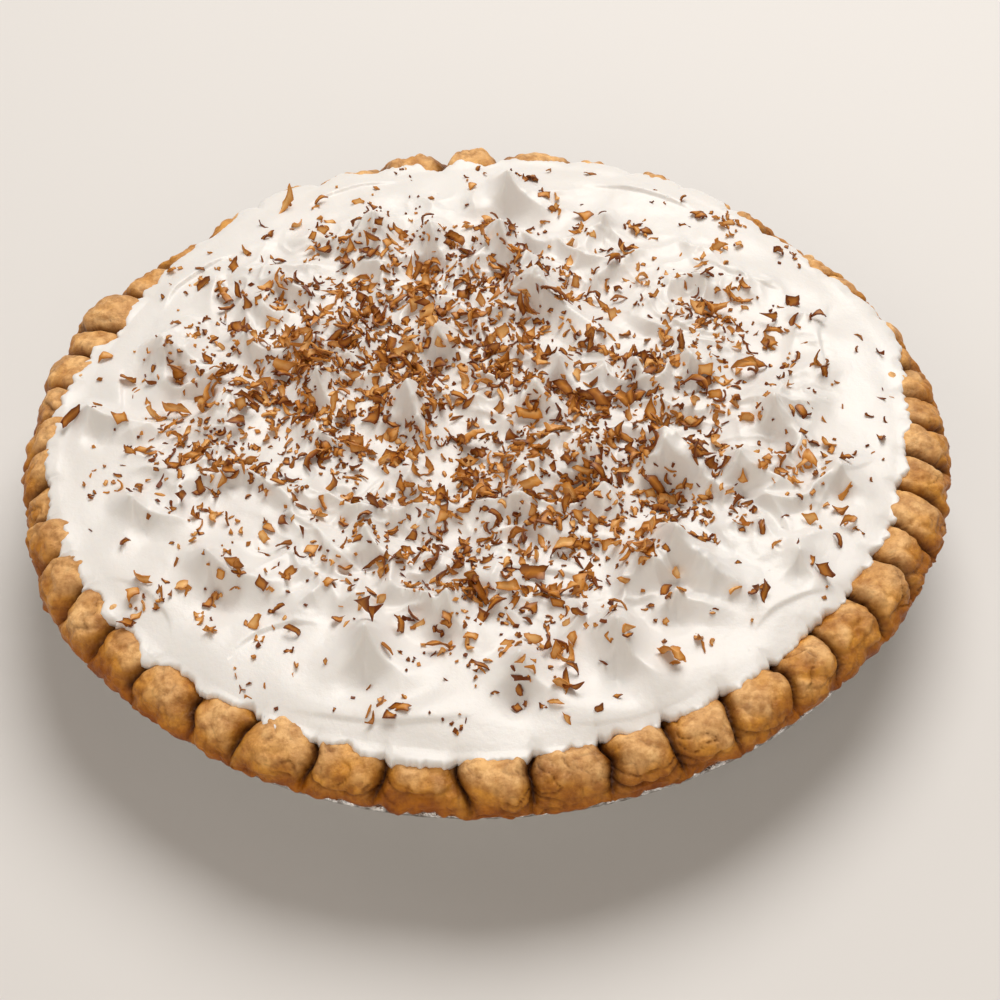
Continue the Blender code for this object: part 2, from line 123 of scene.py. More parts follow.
# Where the rim bulges outward, and where it stands higher or lower: angle, width and size
RIM_SWELLS = (
    (350.0, 30.0, 0.0022), (200.0, 32.0, 0.0022), (156.0, 18.0, 0.0036), (118.0, 14.0, 0.0018),
    (134.0, 5.0, -0.0008), (92.0, 17.0, 0.0018), (40.0, 9.0, -0.0014), (270.0, 20.0, 0.0005),
)
RIM_SWELL_FADE = 0.0120
RIM_LIFTS = (
    (40.0, 8.0, -0.12), (134.0, 7.0, -0.14), (92.0, 16.0, 0.10), (162.0, 20.0, 0.08),
    (196.0, 20.0, 0.05),
)

# Middle of the rim's dough, which its relief is pushed out from
RIM_CORE_RADIUS = 0.1110
RIM_CORE_HEIGHT = 0.0325

# How single flutes lean, swell and sway, and the pinch between them
FLUTE_LEAN = 0.30
FLUTE_PLUMPNESS = (-0.0012, 0.0010)
FLUTE_SWAY = 0.036
FLUTE_SHEAR = 0.050
FLUTE_SHEAR_PLACE = (338.0, 40.0)
PINCH_SQUARENESS = 4.8
PINCH_NOTCH = 0.66
PINCH_NOTCH_LOSS = 0.22

# Creases across the flutes, deepest at the front, as shares of the way down the outline
CREASE_DEEPEST = 0.95
CREASE_PLACE = (262.0, 58.0)
CREASE_LINE = 0.63
CREASE_DROP = (-0.06, 0.08)
CREASE_SLANT = 0.07
CREASE_BOW = 0.13
CREASE_WANDER = 0.07

# Relief of the baked crust: heights, and scales of the noise
CRUST_LUMPS = 0.0010
CRUST_KNOBS = 0.0014
CRUST_GRAIN = 0.00034
CRUST_FOLDS = 0.0011
CRUST_CRACKS = 0.0008
CRUST_PUFFS = 0.0009
CRUST_LOW_LUMPS = 0.0005
LUMP_SCALE = 130.0
KNOB_SCALE = 250.0
GRAIN_SCALE = 520.0
PATCH_SCALE = 60.0
VEIN_SCALE = 300.0
SWAY_SCALE = 2.2
ROUND_SCALE = 9.0
# Height over which the pastry goes from dark low down to pale on top: browning, with painted shade low
# down and painted light on top
BAKED_AND_LIT_FROM = 0.0275
BAKED_AND_LIT_OVER = 0.0115

# Whipped cream
CREAM_LEVEL = 0.0405
CREAM_DOME = 0.0022
CREAM_MEAN_RADIUS = 0.1115
CREAM_SHOULDER = 0.0140
CREAM_SEAT_RADIUS = 0.1090
CREAM_CELLS = 560
CREAM_TRIANGLES = 188000
CREAM_EDGE_LIMIT = 0.1174

# The cream's lip: its width, height and roundness, and how it sags over the grooves
CREAM_LIP = 0.0012
CREAM_LIP_HEIGHT = 0.0007
CREAM_LIP_ROUNDNESS = 2.2
CREAM_LIP_UNEVENNESS = 0.9
CREAM_SINK = 0.0003
CREAM_SAG = 0.15
CREAM_SAG_FADE = 0.0045
SEAT_STATIONS = 7

# The closed underside: depth of its rim, then its flat part's share of the width and its drop
CREAM_SKIRT = 0.0012
CREAM_FLAT_SHARE = 0.90
CREAM_FLAT_DROP = 0.001

# How far out the cream was spread: angle and radius
CREAM_EDGE = (
    (0, 0.1130), (13, 0.1180), (22, 0.1170), (30, 0.1135), (44, 0.1130), (56, 0.1175),
    (74, 0.1165), (82, 0.1140), (95, 0.1115), (105, 0.1150), (120, 0.1185), (132, 0.1155),
    (147, 0.1125), (158, 0.1110), (170, 0.1165), (183, 0.1170), (205, 0.1145), (230, 0.1115),
    (258, 0.1120), (285, 0.1095), (315, 0.1080), (345, 0.1110),
)

# Noise round its edge: size, scale and seed
EDGE_WAVES = (0.0010, 4.2, 0.0)
EDGE_TONGUES = (0.0026, 14.0, 5.0)
EDGE_FRILLS = (0.0013, 42.0, 8.0)
EDGE_TEARS = (0.0004, 120.0, 4.0)

# Where the edge follows the flutes, out on them or down in the grooves: angle, width and size
CREAM_LOBES = (
    (285.0, 48.0, 0.0022), (208.0, 26.0, -0.0026), (122.0, 8.0, 0.0040), (58.0, 12.0, 0.0040),
)
LOBE_MEAN = 0.7

# Soft relief of the cream. Noise: scale and seed
DRIFT = (45.0, 3.0)
SWELL = (95.0, 9.0)
FOLDS = (62.0, 21.0)
RIPPLES = (150.0, 27.0)
CURD = (420.0, 33.0)
MOUNDS = (78.0, 51.0)
LIP_NOISE = (70.0, 40.0)
DRIFT_HEIGHT = 0.0012
SWELL_HEIGHT = 0.0007
CURD_HEIGHT = 0.00007
MOUND_HEIGHT = 0.0022
FOLD_HEIGHT = 0.0035
RIPPLE_HEIGHT = 0.0010

# How far out the spoon worked the cream, and the calmer stretch at the front
WORKED_RADIUS = 0.104
WORKED_FADE = 0.020
CALM_INSET = 0.016
CALM_PLACE = (262.0, 55.0)

# Spooned peaks: apex x and y, height, then the crest's right limb and left limb as
# heading in degrees and length
CREAM_PEAKS = (
    (0.010, 0.094, 0.0098, -38, 0.020, -140, 0.010),
    (0.007, 0.070, 0.0118, -50, 0.027, -115, 0.012),
    (-0.013, 0.071, 0.0112, -55, 0.018, -130, 0.012),
    (-0.029, 0.076, 0.0100, -71, 0.023, -140, 0.012),
    (0.014, 0.072, 0.0048, -8, 0.015, -120, 0.006),
    (0.016, 0.047, 0.0098, -38, 0.032, -150, 0.010),
    (0.037, 0.078, 0.0048, -50, 0.010, -140, 0.010),
    (-0.105, 0.007, 0.0068, -12, 0.026, -120, 0.010),
    (-0.086, 0.028, 0.0080, -30, 0.024, -100, 0.020),
    (-0.064, 0.030, 0.0072, -10, 0.016, -120, 0.010),
    (-0.055, 0.054, 0.0070, -10, 0.018, -130, 0.012),
    (-0.091, -0.028, 0.0070, -15, 0.019, -100, 0.010),
    (-0.044, 0.014, 0.0080, -56, 0.014, -140, 0.010),
    (-0.020, 0.004, 0.0112, -57, 0.023, -140, 0.012),
    (-0.012, 0.030, 0.0080, -35, 0.014, -140, 0.010),
    (0.021, 0.016, 0.0068, -55, 0.012, -140, 0.009),
    (0.014, 0.003, 0.0068, -33, 0.012, -150, 0.009),
    (0.026, -0.020, 0.0092, -62, 0.021, -140, 0.011),
    (-0.020, -0.024, 0.0048, -50, 0.010, -140, 0.010),
    (0.008, -0.035, 0.0066, -37, 0.014, -150, 0.010),
    (-0.031, -0.044, 0.0080, -45, 0.015, -140, 0.010),
    (0.046, -0.021, 0.0108, -25, 0.016, -145, 0.012),
    (0.056, 0.014, 0.0068, -20, 0.011, -150, 0.010),
    (0.065, -0.026, 0.0086, -17, 0.018, -150, 0.012),
    (0.076, -0.006, 0.0070, -45, 0.014, -150, 0.010),
    (0.091, -0.027, 0.0048, -30, 0.009, -150, 0.008),
    (-0.070, -0.051, 0.0096, -15, 0.024, -110, 0.010),
    (-0.031, -0.078, 0.0106, -40, 0.015, -140, 0.013),
    (-0.011, -0.067, 0.0086, -55, 0.014, -140, 0.009),
    (0.006, -0.087, 0.0086, -40, 0.013, -150, 0.011),
    (0.030, -0.080, 0.0112, -45, 0.018, -120, 0.010),
    (0.046, -0.054, 0.0102, -32, 0.021, -140, 0.014),
    (0.045, -0.067, 0.0050, -9, 0.017, -160, 0.010),
    (0.077, -0.055, 0.0046, -50, 0.010, -140, 0.009),
    (0.089, 0.034, 0.0026, 260, 0.024, 120, 0.006),
    (0.041, 0.013, 0.0070, -50, 0.014, -140, 0.009),
    (-0.074, 0.060, 0.0024, -88, 0.016, 90, 0.006),
)
PEAK_GROWTH = 1.03
PEAK_TALL = 0.0090
PEAK_FRONT = 0.0074
PEAK_BACK = 0.0125
PEAK_SIDE = 0.0078
PEAK_TIP = 0.030
PEAK_REACH_POWER = 0.6
PEAK_SHARPNESS = 1.5
PEAK_SKIRT = 0.028
PEAK_EDGE_FADE = 0.008
LIMB_STEPS = 30
LIMB_CURVE = 20.0
RIGHT_LIMB_FADE = 1.0
LEFT_LIMB_FADE = 1.2

# The hollow that the spoon leaves in front of a peak
HOLLOW_AHEAD = 0.0064
HOLLOW_RADIUS = 0.0052
HOLLOW_SHARE = 0.44

# Marks of the spoon: start x and y, end x and y, sideways bow, and height of the step
CREAM_STROKES = (
    (-0.054, -0.092, -0.002, -0.098, -0.004, 0.0010), (0.012, -0.101, 0.052, -0.090, -0.005, 0.0007),
    (0.062, -0.078, 0.088, -0.062, 0.003, 0.0009), (0.080, -0.046, 0.104, -0.018, 0.004, 0.0009),
    (0.094, 0.004, 0.098, 0.044, 0.004, 0.0010), (0.060, 0.066, 0.088, 0.046, -0.003, 0.0010),
    (0.030, 0.098, 0.066, 0.082, 0.004, 0.0012), (-0.052, 0.092, -0.018, 0.104, 0.004, 0.0010),
    (-0.090, 0.048, -0.066, 0.074, 0.005, 0.0012), (-0.104, -0.008, -0.100, 0.030, -0.004, 0.0009),
    (-0.098, -0.048, -0.078, -0.072, 0.005, 0.0009), (-0.066, -0.078, -0.040, -0.070, 0.005, 0.0010),
    (0.000, -0.058, 0.030, -0.066, 0.006, 0.0010), (-0.058, -0.030, -0.040, -0.056, 0.006, 0.0012),
    (-0.070, 0.020, -0.046, 0.036, -0.005, 0.0012), (0.046, 0.040, 0.076, 0.030, -0.006, 0.0012),
)
STROKE_SHARP = 0.0007
STROKE_EASY = 0.0055
STROKE_FADE = 0.35

# Chocolate shavings. Where they lie thick: x, y, spread and weight
SHAVING_BEDS = (
    (-0.040, 0.036, 0.017, 10), (-0.010, 0.048, 0.015, 8), (0.002, 0.028, 0.016, 8),
    (-0.060, 0.016, 0.013, 8), (-0.078, -0.006, 0.011, 6), (-0.034, 0.004, 0.014, 8),
    (0.006, 0.000, 0.017, 9), (0.026, -0.008, 0.014, 8), (0.024, -0.032, 0.014, 7),
    (-0.012, -0.050, 0.013, 7), (0.036, -0.046, 0.011, 6), (0.060, 0.036, 0.010, 5),
    (0.070, 0.008, 0.014, 7), (0.044, 0.012, 0.012, 6), (0.048, -0.024, 0.012, 5),
    (0.074, -0.032, 0.010, 3), (-0.060, -0.052, 0.011, 3), (0.006, -0.072, 0.012, 5),
    (-0.030, 0.062, 0.014, 5), (-0.052, -0.014, 0.014, 6), (-0.037, 0.020, 0.014, 12),
    (0.008, -0.034, 0.016, 9), (-0.022, 0.030, 0.022, 10), (0.012, 0.054, 0.013, 8),
    (-0.014, -0.060, 0.010, 4), (0.000, 0.004, 0.060, 78),
)
SHAVING_REACH = 0.112
SHAVING_CEILING = 0.0505
CLUMPING = 0.34
CLUMP_SPREAD = 0.0025
MOST_NEIGHBOURS = 2
SLOPE_STEP = 0.0008

# How each shaving is cut, torn, crumpled and turned over
CUT_TAPER = 1.6
CUT_BULGE = 3.0
CUT_SKEW = 1.2
RAGGED = 0.042
TWIST = 0.35
CUP = 0.30
ROUGHNESS = 0.02
FLAT_BELOW = 0.05
TURNED_OVER = 0.4
SIDE_TILT = 0.8
SINK_SHARE = 0.25
SINK_LIMIT = 0.0006
SHADES = (0.25, 1.0)
# Painted shade: how much darker each shaving is along its edges
PAINTED_EDGE_SHADE = 0.45
SHAVING_SMOOTH_ANGLE = 28.0

# Sockets of a colour mix node
MIX_FIRST = 6
MIX_SECOND = 7
MIX_RESULT = 2

# Lights: name, place, size, power and colour
LIGHTS = (
    ("sky_panel", (0.24, 0.68, 1.15), 1.0, 15.4, (1.0, 0.965, 0.925)),
    ("side_panel", (-1.3, 0.5, 0.9), 0.8, 1.5, (1.0, 0.96, 0.92)),
    ("front_panel", (-0.3, -1.2, 0.62), 1.2, 5.0, (1.0, 0.90, 0.79)),
)
LIGHT_AIM = (0, 0, 0.03)
ROOM_COLOUR = (1.0, 0.90, 0.79, 1.0)
ROOM_STRENGTH = 0.30
FLOOR_SIZE = 6.0
FLOOR_DROP = 0.0002


def bump(turn, centre, width):
    """A smooth hump round the pie: 1 at its centre, all in degrees."""
    away = (turn - centre + 180.0) % 360.0 - 180.0
    return np.exp(-((away / width) ** 2))


def ease(value):
    """0 up to 0 and 1 from 1 on, with a smooth rise between."""
    value = np.clip(value, 0.0, 1.0)
    return value * value * (3.0 - 2.0 * value)


def wander(x, y, scale, seed):
    """Soft noise over the plan, about -1 to 1."""
    points = zip((x * scale).tolist(), (y * scale).tolist())
    return np.array([noise.noise(Vector((a, b, seed))) for a, b in points])


def ring_noise(angle, scale, seed):
    """Soft noise round the pie, about -1 to 1."""
    return wander(np.cos(angle), np.sin(angle), scale, seed)


def ridges(values, narrowness, power=1.0):
    """1 along the lines where soft noise is 0, falling away to both sides."""
    return np.clip(1.0 - narrowness * np.abs(values), 0.0, 1.0) ** power


# Rim of the pastry case

def groove_angles():
    """Where one flute meets the next, in radians from +X."""
    draw = random.Random(FLUTE_SEED)
    angles = []
    for k in range(FLUTES):
        even = 360.0 * k / FLUTES
        turn = FLUTE_START + even + draw.uniform(-FLUTE_JITTER, FLUTE_JITTER)
        for waves, size, start in FLUTE_DRIFTS:
            turn += size * math.sin(math.radians(waves * even + start))
        angles.append(math.radians(turn % 360.0))
    return np.sort(angles)


GROOVES = groove_angles()


def flute_place(angle):
    """Number of the flute at each angle, and the place across it from -1 to 1."""
    angle = np.mod(angle, 2.0 * math.pi)
    k = np.searchsorted(GROOVES, angle, side="right")
    start = np.where(k > 0, GROOVES[k - 1], GROOVES[-1] - 2.0 * math.pi)
    end = np.where(k < FLUTES, GROOVES[k % FLUTES], GROOVES[0] + 2.0 * math.pi)
    return k % FLUTES, 2.0 * (angle - start) / (end - start) - 1.0


def flute_fullness(angle):
    """1 over the middle of a flute, 0 in a groove."""
    _, across = flute_place(angle)
    return (1.0 - np.abs(across) ** FLUTE_SQUARENESS) ** FLUTE_NOTCH


def flute_sag(angle):
    """0 over the middle of a flute, 1 in a groove, as soft cream lies over it."""
    _, across = flute_place(angle)
    return (0.5 - 0.5 * np.cos(math.pi * across)) ** 3


def rim_share(angle):
    """How high the rim stands at each angle, as a share of its usual height."""
    turn = np.degrees(angle) % 360.0
    return 1.0 + sum(share * bump(turn, centre, width) for centre, width, share in RIM_LIFTS)


def rim_placed(angle, radius, height):
    """The rim's outline swollen and lifted as the baked edge is."""
    turn = np.degrees(angle) % 360.0
    swell = sum(size * bump(turn, centre, width) for centre, width, size in RIM_SWELLS)
    bottom = GROOVE_TOP[-1][1]
    lifted = np.where(height > bottom, bottom + (height - bottom) * rim_share(angle), height)
    return radius + swell * ease((radius - RIM_START) / RIM_SWELL_FADE), lifted


def rim_station(angle, station, full):
    """Radius and height of the rim at one station of its outline."""
    radius = GROOVE_TOP[station][0] + (FLUTE_TOP[station][0] - GROOVE_TOP[station][0]) * full
    height = GROOVE_TOP[station][1] + (FLUTE_TOP[station][1] - GROOVE_TOP[station][1]) * full
    return rim_placed(angle, radius, height)


def cream_seat(radius, angle, sag):
    """Where the cream lies on the pastry: it sags a little over the grooves."""
    full = 1.0 - sag * flute_sag(angle)
    low_radius, height = rim_station(angle, 0, full)
    low_height = height
    for station in range(1, SEAT_STATIONS):
        next_radius, next_height = rim_station(angle, station, full)
        share = np.clip((radius - low_radius) / (next_radius - low_radius), 0.0, 1.0)
        height = np.where(radius > low_radius, low_height + (next_height - low_height) * share, height)
        low_radius, low_height = next_radius, next_height
    return height


# Top of the cream

def edge_noise(angle, kind):
    """One kind of noise round the cream's edge, in metres."""
    size, scale, seed = kind
    return size * ring_noise(angle, scale, seed)


def spread_radius(angle):
    """How far out the cream was spread."""
    turns, radii = zip(*CREAM_EDGE)
    spread = np.interp(np.degrees(angle) % 360.0, turns, radii, period=360.0)
    return spread + edge_noise(angle, EDGE_WAVES)


def edge_radius(angle):
    """The cream's torn edge: tongues on the flutes at the front, in the grooves at the left."""
    turn = np.degrees(angle) % 360.0
    lobes = flute_fullness(angle) - LOBE_MEAN
    lobes = lobes * sum(size * bump(turn, centre, width) for centre, width, size in CREAM_LOBES)
    limit, _ = rim_placed(angle, np.full_like(angle, CREAM_EDGE_LIMIT), np.zeros_like(angle))
    edge = np.minimum(spread_radius(angle) + lobes + edge_noise(angle, EDGE_TONGUES), limit)
    return edge + edge_noise(angle, EDGE_FRILLS) + edge_noise(angle, EDGE_TEARS)


def limb(peak, heading, length, turn, fade):
    """Points along one side of a crest, curving as it runs down from the apex."""
    x, y, height = peak[0], peak[1], PEAK_GROWTH * peak[2]
    points = []
    for k in range(LIMB_STEPS + 1):
        share = k / LIMB_STEPS
        points.append((x, y, height * (1.0 - share) ** fade))
        way = math.radians(heading + turn * (2.0 * share - 1.0))
        x += math.cos(way) * length / LIMB_STEPS
        y += math.sin(way) * length / LIMB_STEPS
    return points


def crest_line(peak):
    """Points along the whole crest of a peak, down from the apex on both sides."""
    right, right_length, left, left_length = peak[3:]
    return (limb(peak, right, right_length, LIMB_CURVE, RIGHT_LIMB_FADE)
            + limb(peak, left, left_length, -LIMB_CURVE, LEFT_LIMB_FADE))


def peak_rise(x, y, peak):
    """A sharp bowed crest, easy behind, steep and hollow in front."""
    height, right, left = PEAK_GROWTH * peak[2], peak[3], peak[5]
    ahead_x = math.cos(math.radians(right)) + math.cos(math.radians(left))
    ahead_y = math.sin(math.radians(right)) + math.sin(math.radians(left))
    size = math.hypot(ahead_x, ahead_y)
    ahead_x, ahead_y = ahead_x / size, ahead_y / size
    reach = (height / PEAK_TALL) ** PEAK_REACH_POWER
    rise = np.zeros_like(x)
    for crest_x, crest_y, crest_height in crest_line(peak):
        ahead = (x - crest_x) * ahead_x + (y - crest_y) * ahead_y
        side = (y - crest_y) * ahead_x - (x - crest_x) * ahead_y
        stretch = np.where(ahead > 0.0, PEAK_FRONT, PEAK_BACK) * reach
        away = (ahead / stretch) ** 2 + (side / (PEAK_SIDE * reach)) ** 2
        away = np.sqrt(away + PEAK_TIP ** 2) - PEAK_TIP
        rise = np.maximum(rise, crest_height * np.clip(1.0 - away, 0.0, 1.0) ** PEAK_SHARPNESS)
    middle_x = peak[0] + ahead_x * HOLLOW_AHEAD * reach
    middle_y = peak[1] + ahead_y * HOLLOW_AHEAD * reach
    hollow = np.exp(-((x - middle_x) ** 2 + (y - middle_y) ** 2) / (HOLLOW_RADIUS * reach) ** 2)
    return rise, HOLLOW_SHARE * height * hollow


def peaks_over(x, y):
    """Height of all the peaks above the cream's level, less the hollows in front of them."""
    rises = np.zeros_like(x)
    hollows = np.zeros_like(x)
    for peak in CREAM_PEAKS:
        near = np.hypot(x - peak[0], y - peak[1]) < peak[4] + PEAK_SKIRT
        rise, hollow = peak_rise(x[near], y[near], peak)
        rises[near] += rise ** 3
        hollows[near] += hollow
    return np.cbrt(rises) - hollows


def stroke_step(x, y, stroke):
    """A low step left by the spoon: sharp on one side, easy on the other."""
    start_x, start_y, end_x, end_y, bow, height = stroke
    length = math.hypot(end_x - start_x, end_y - start_y)
    along_x, along_y = (end_x - start_x) / length, (end_y - start_y) / length
    along = ((x - start_x) * along_x + (y - start_y) * along_y) / length
    side = (y - start_y) * along_x - (x - start_x) * along_y - 4.0 * bow * along * (1.0 - along)
    run = np.where(side > 0.0, STROKE_EASY, STROKE_SHARP)
    ends = ease(along / STROKE_FADE) * ease((1.0 - along) / STROKE_FADE)
    return height * np.exp(-((side / run) ** 2)) * ends


def spooned_level(x, y, radius, angle):
    """The cream without its peaks: a low dome with mounds, folds, ripples and spoon marks."""
    drift = wander(x, y, *DRIFT)
    swell = wander(x + 0.004 * drift, y - 0.004 * drift, *SWELL)
    folds = wander(x + 0.006 * swell, y + 0.008 * drift, *FOLDS)
    ripples = wander(x + 0.004 * folds, y + 0.005 * swell, *RIPPLES)
    curd = wander(x + 0.002 * folds, y, *CURD)
    mounds = wander(x + 0.010 * drift, y + 0.010 * swell, *MOUNDS)
    calm = bump(np.degrees(angle) % 360.0, *CALM_PLACE)
    worked = ease((WORKED_RADIUS - CALM_INSET * calm - radius) / WORKED_FADE)
    worked = worked * ease(0.55 + 1.2 * drift)
    level = CREAM_LEVEL + CREAM_DOME * (1.0 - (radius / CREAM_MEAN_RADIUS) ** 2)
    level = level + DRIFT_HEIGHT * drift + SWELL_HEIGHT * swell + CURD_HEIGHT * curd
    level = level + worked * MOUND_HEIGHT * mounds
    level = level + worked * (FOLD_HEIGHT * ridges(folds, 2.6, 1.4)
                              + RIPPLE_HEIGHT * ridges(ripples, 2.4, 1.5))
    for stroke in CREAM_STROKES:
        level = level + stroke_step(x + 0.0010 * swell, y + 0.0014 * drift, stroke)
    return level


def cream_height(x, y):
    """Height of the cream's surface over the plan."""
    radius = np.hypot(x, y)
    angle = np.arctan2(y, x)
    inward = edge_radius(angle) - radius
    level = spooned_level(x, y, radius, angle) + peaks_over(x, y) * ease(inward / PEAK_EDGE_FADE)
    shoulder = np.clip((spread_radius(angle) - radius) / CREAM_SHOULDER, 0.0, 1.0)
    rest = cream_seat(np.maximum(radius, CREAM_SEAT_RADIUS), angle, 0.0)
    thick = CREAM_LIP_HEIGHT * (1.0 + CREAM_LIP_UNEVENNESS * wander(x, y, *LIP_NOISE))
    body = rest + thick + (level - rest - thick) * (1.0 - (1.0 - shoulder) ** 2)
    seat = cream_seat(np.maximum(radius, CREAM_SEAT_RADIUS), angle, CREAM_SAG)
    body = body - (rest - seat) * (1.0 - ease(inward / CREAM_SAG_FADE))
    lip = np.clip(inward / CREAM_LIP, 0.0, 1.0)
    rounding = np.sqrt(1.0 - (1.0 - lip) ** CREAM_LIP_ROUNDNESS)
    return seat - CREAM_SINK + (body - seat + CREAM_SINK) * rounding


# Modelling helpers

def deselect():
    bpy.ops.object.select_all(action="DESELECT")


def work_on(item):
    """Makes one object the only one that operators act on."""
    deselect()
    item.select_set(True)
    bpy.context.view_layer.objects.active = item


def corners(item):
    """Places of a mesh's corners, one row each."""
    places = np.empty(len(item.data.vertices) * 3)
    item.data.vertices.foreach_get("co", places)
    return places.reshape(-1, 3)


def set_corners(item, places):
    item.data.vertices.foreach_set("co", places.ravel())
    item.data.update()


def add_value(item, name, values):
    """Stores one value at each corner, for the material to read."""
    made = item.data.attributes.new(name, "FLOAT", "POINT")
    made.data.foreach_set("value", values.astype(np.float32))


def modifiers_kept(item):
    """Makes an object's modifiers a lasting part of its mesh."""
    work_on(item)
    for modifier in list(item.modifiers):
        bpy.ops.object.modifier_apply(modifier=modifier.name)


def turned(name, profile, steps):
    """A profile of (radius, height) points turned about Z."""
    mesh = bpy.data.meshes.new(name)
    mesh.from_pydata([(radius, 0.0, height) for radius, height in profile],
                     [(i, i + 1) for i in range(len(profile) - 1)], [])
    item = bpy.data.objects.new(name, mesh)
    bpy.context.collection.objects.link(item)
    screw = item.modifiers.new("turn", "SCREW")
    screw.steps = steps
    screw.render_steps = steps
    screw.use_merge_vertices = True
    screw.merge_threshold = 0.000005
    modifiers_kept(item)
    return item


# Materials

def new_material(name, roughness, metallic=0.0):
    made = bpy.data.materials.new(name)
    made.use_nodes = True
    shader = made.node_tree.nodes["Principled BSDF"]
    shader.inputs["Roughness"].default_value = roughness
    shader.inputs["Metallic"].default_value = metallic
    return made, made.node_tree.nodes, made.node_tree.links, shader


def value_node(nodes, name):
    """Reads a value that the mesh holds at its corners."""
    stored = nodes.new("ShaderNodeAttribute")
    stored.attribute_name = name
    return stored.outputs["Fac"]


def noise_node(nodes, links, scale, detail, roughness=0.5):
    spot = nodes.new("ShaderNodeTexCoord")
    texture = nodes.new("ShaderNodeTexNoise")
    texture.inputs["Scale"].default_value = scale
    texture.inputs["Detail"].default_value = detail
    texture.inputs["Roughness"].default_value = roughness
    links.new(spot.outputs["Object"], texture.inputs["Vector"])
    return texture.outputs["Fac"]


def ramp_node(nodes, links, source, stops):
    """Colours along a value, as (place, colour) stops."""
    ramp = nodes.new("ShaderNodeValToRGB")
    while len(ramp.color_ramp.elements) < len(stops):
        ramp.color_ramp.elements.new(0.5)
    for element, (place, colour) in zip(ramp.color_ramp.elements, stops):
        element.position = place
        element.color = (*colour, 1.0)
    links.new(source, ramp.inputs["Fac"])
    return ramp.outputs["Color"]


def mix_node(nodes, links, kind, share, first, second):
    """Mixes two colours, each a tuple or a socket, by a number or a socket."""
    mix = nodes.new("ShaderNodeMix")
    mix.data_type = "RGBA"
    mix.blend_type = kind
    if isinstance(share, float):
        mix.inputs["Factor"].default_value = share
    else:
        links.new(share, mix.inputs["Factor"])
    for socket, value in ((mix.inputs[MIX_FIRST], first), (mix.inputs[MIX_SECOND], second)):
        if isinstance(value, tuple):
            socket.default_value = (*value, 1.0)
        else:
            links.new(value, socket)
    return mix.outputs[MIX_RESULT]


def bump_node(nodes, links, shader, height, distance, strength, before=None):
    """Fine relief in the shading, on top of what was there before."""
    made = nodes.new("ShaderNodeBump")
    made.inputs["Distance"].default_value = distance
    made.inputs["Strength"].default_value = strength
    links.new(height, made.inputs["Height"])
    if before is not None:
        links.new(before.outputs["Normal"], made.inputs["Normal"])
    links.new(made.outputs["Normal"], shader.inputs["Normal"])
    return made


def cream_material():
    made, nodes, links, shader = new_material("whipped_cream", roughness=0.36)
    shader.inputs["Subsurface Weight"].default_value = 0.25
    shader.inputs["Subsurface Radius"].default_value = (1.0, 0.85, 0.7)
    shader.inputs["Subsurface Scale"].default_value = 0.0010
    tint = noise_node(nodes, links, scale=30.0, detail=3.0)
    colour = ramp_node(nodes, links, tint, (
        (0.3, (0.82, 0.80, 0.775)), (0.7, (0.86, 0.85, 0.835)),
    ))
    links.new(colour, shader.inputs["Base Color"])
    fine = noise_node(nodes, links, scale=700.0, detail=5.0, roughness=0.6)
    bump_node(nodes, links, shader, fine, distance=0.0003, strength=0.35)
    return made


def pastry_material():
    """Pale high up and brown low down, partly browning and partly painted light and shade; mottled,
    flecked partly as painted fine shade, with painted shade in grooves, creases, cracks and dents.
    """
    made, nodes, links, shader = new_material("baked_pastry", roughness=0.38)
    shader.inputs["Specular IOR Level"].default_value = 0.30
    # Dark low down and pale high up: browning, with painted shade below and painted light on the top
    baked = ramp_node(nodes, links, value_node(nodes, "browning_and_painted_light"), (
        (0.0, (0.28, 0.066, 0.001)), (0.35, (0.47, 0.160, 0.004)), (0.70, (0.70, 0.330, 0.050)),
        (1.0, (0.90, 0.560, 0.240)),
    ))
    mottle = noise_node(nodes, links, scale=160.0, detail=6.0, roughness=0.6)
    spots = ramp_node(nodes, links, mottle, (
        (0.36, (0.68, 0.54, 0.42)), (0.62, (1.10, 1.08, 1.06)),
    ))
    colour = mix_node(nodes, links, "MULTIPLY", 0.85, baked, spots)
    # Random dark flecks: partly the pastry's own tone, partly painted fine shade
    blister = noise_node(nodes, links, scale=430.0, detail=4.0, roughness=0.6)
    flecks_and_fine_shade = ramp_node(nodes, links, blister, (
        (0.38, (0.72, 0.60, 0.48)), (0.58, (1.10, 1.09, 1.08)),
    ))
    colour = mix_node(nodes, links, "MULTIPLY", 0.80, colour, flecks_and_fine_shade)
    # Painted shade: grooves, creases, cracks and dents darkened toward near black-brown
    colour = mix_node(nodes, links, "MIX", value_node(nodes, "painted_shade"), colour, (0.070, 0.018, 0.002))
    links.new(colour, shader.inputs["Base Color"])
    coarse = noise_node(nodes, links, scale=380.0, detail=7.0, roughness=0.65)
    bump_node(nodes, links, shader, coarse, distance=0.0012, strength=0.8)
    return made


def chocolate_material():
    """Milk chocolate, from dark to pale by each shaving's own tone, darker along its edges as painted
    shade.
    """
    made, nodes, links, shader = new_material("milk_chocolate", roughness=0.42)
    shader.inputs["Specular IOR Level"].default_value = 0.30
    colour = ramp_node(nodes, links, value_node(nodes, "tone_and_edge_shade"), (
        (0.0, (0.170, 0.036, 0.001)), (0.45, (0.590, 0.230, 0.032)), (1.0, (0.900, 0.530, 0.200)),
    ))
    links.new(colour, shader.inputs["Base Color"])
    fine = noise_node(nodes, links, scale=900.0, detail=4.0)
    bump_node(nodes, links, shader, fine, distance=0.0002, strength=0.5)
    return made


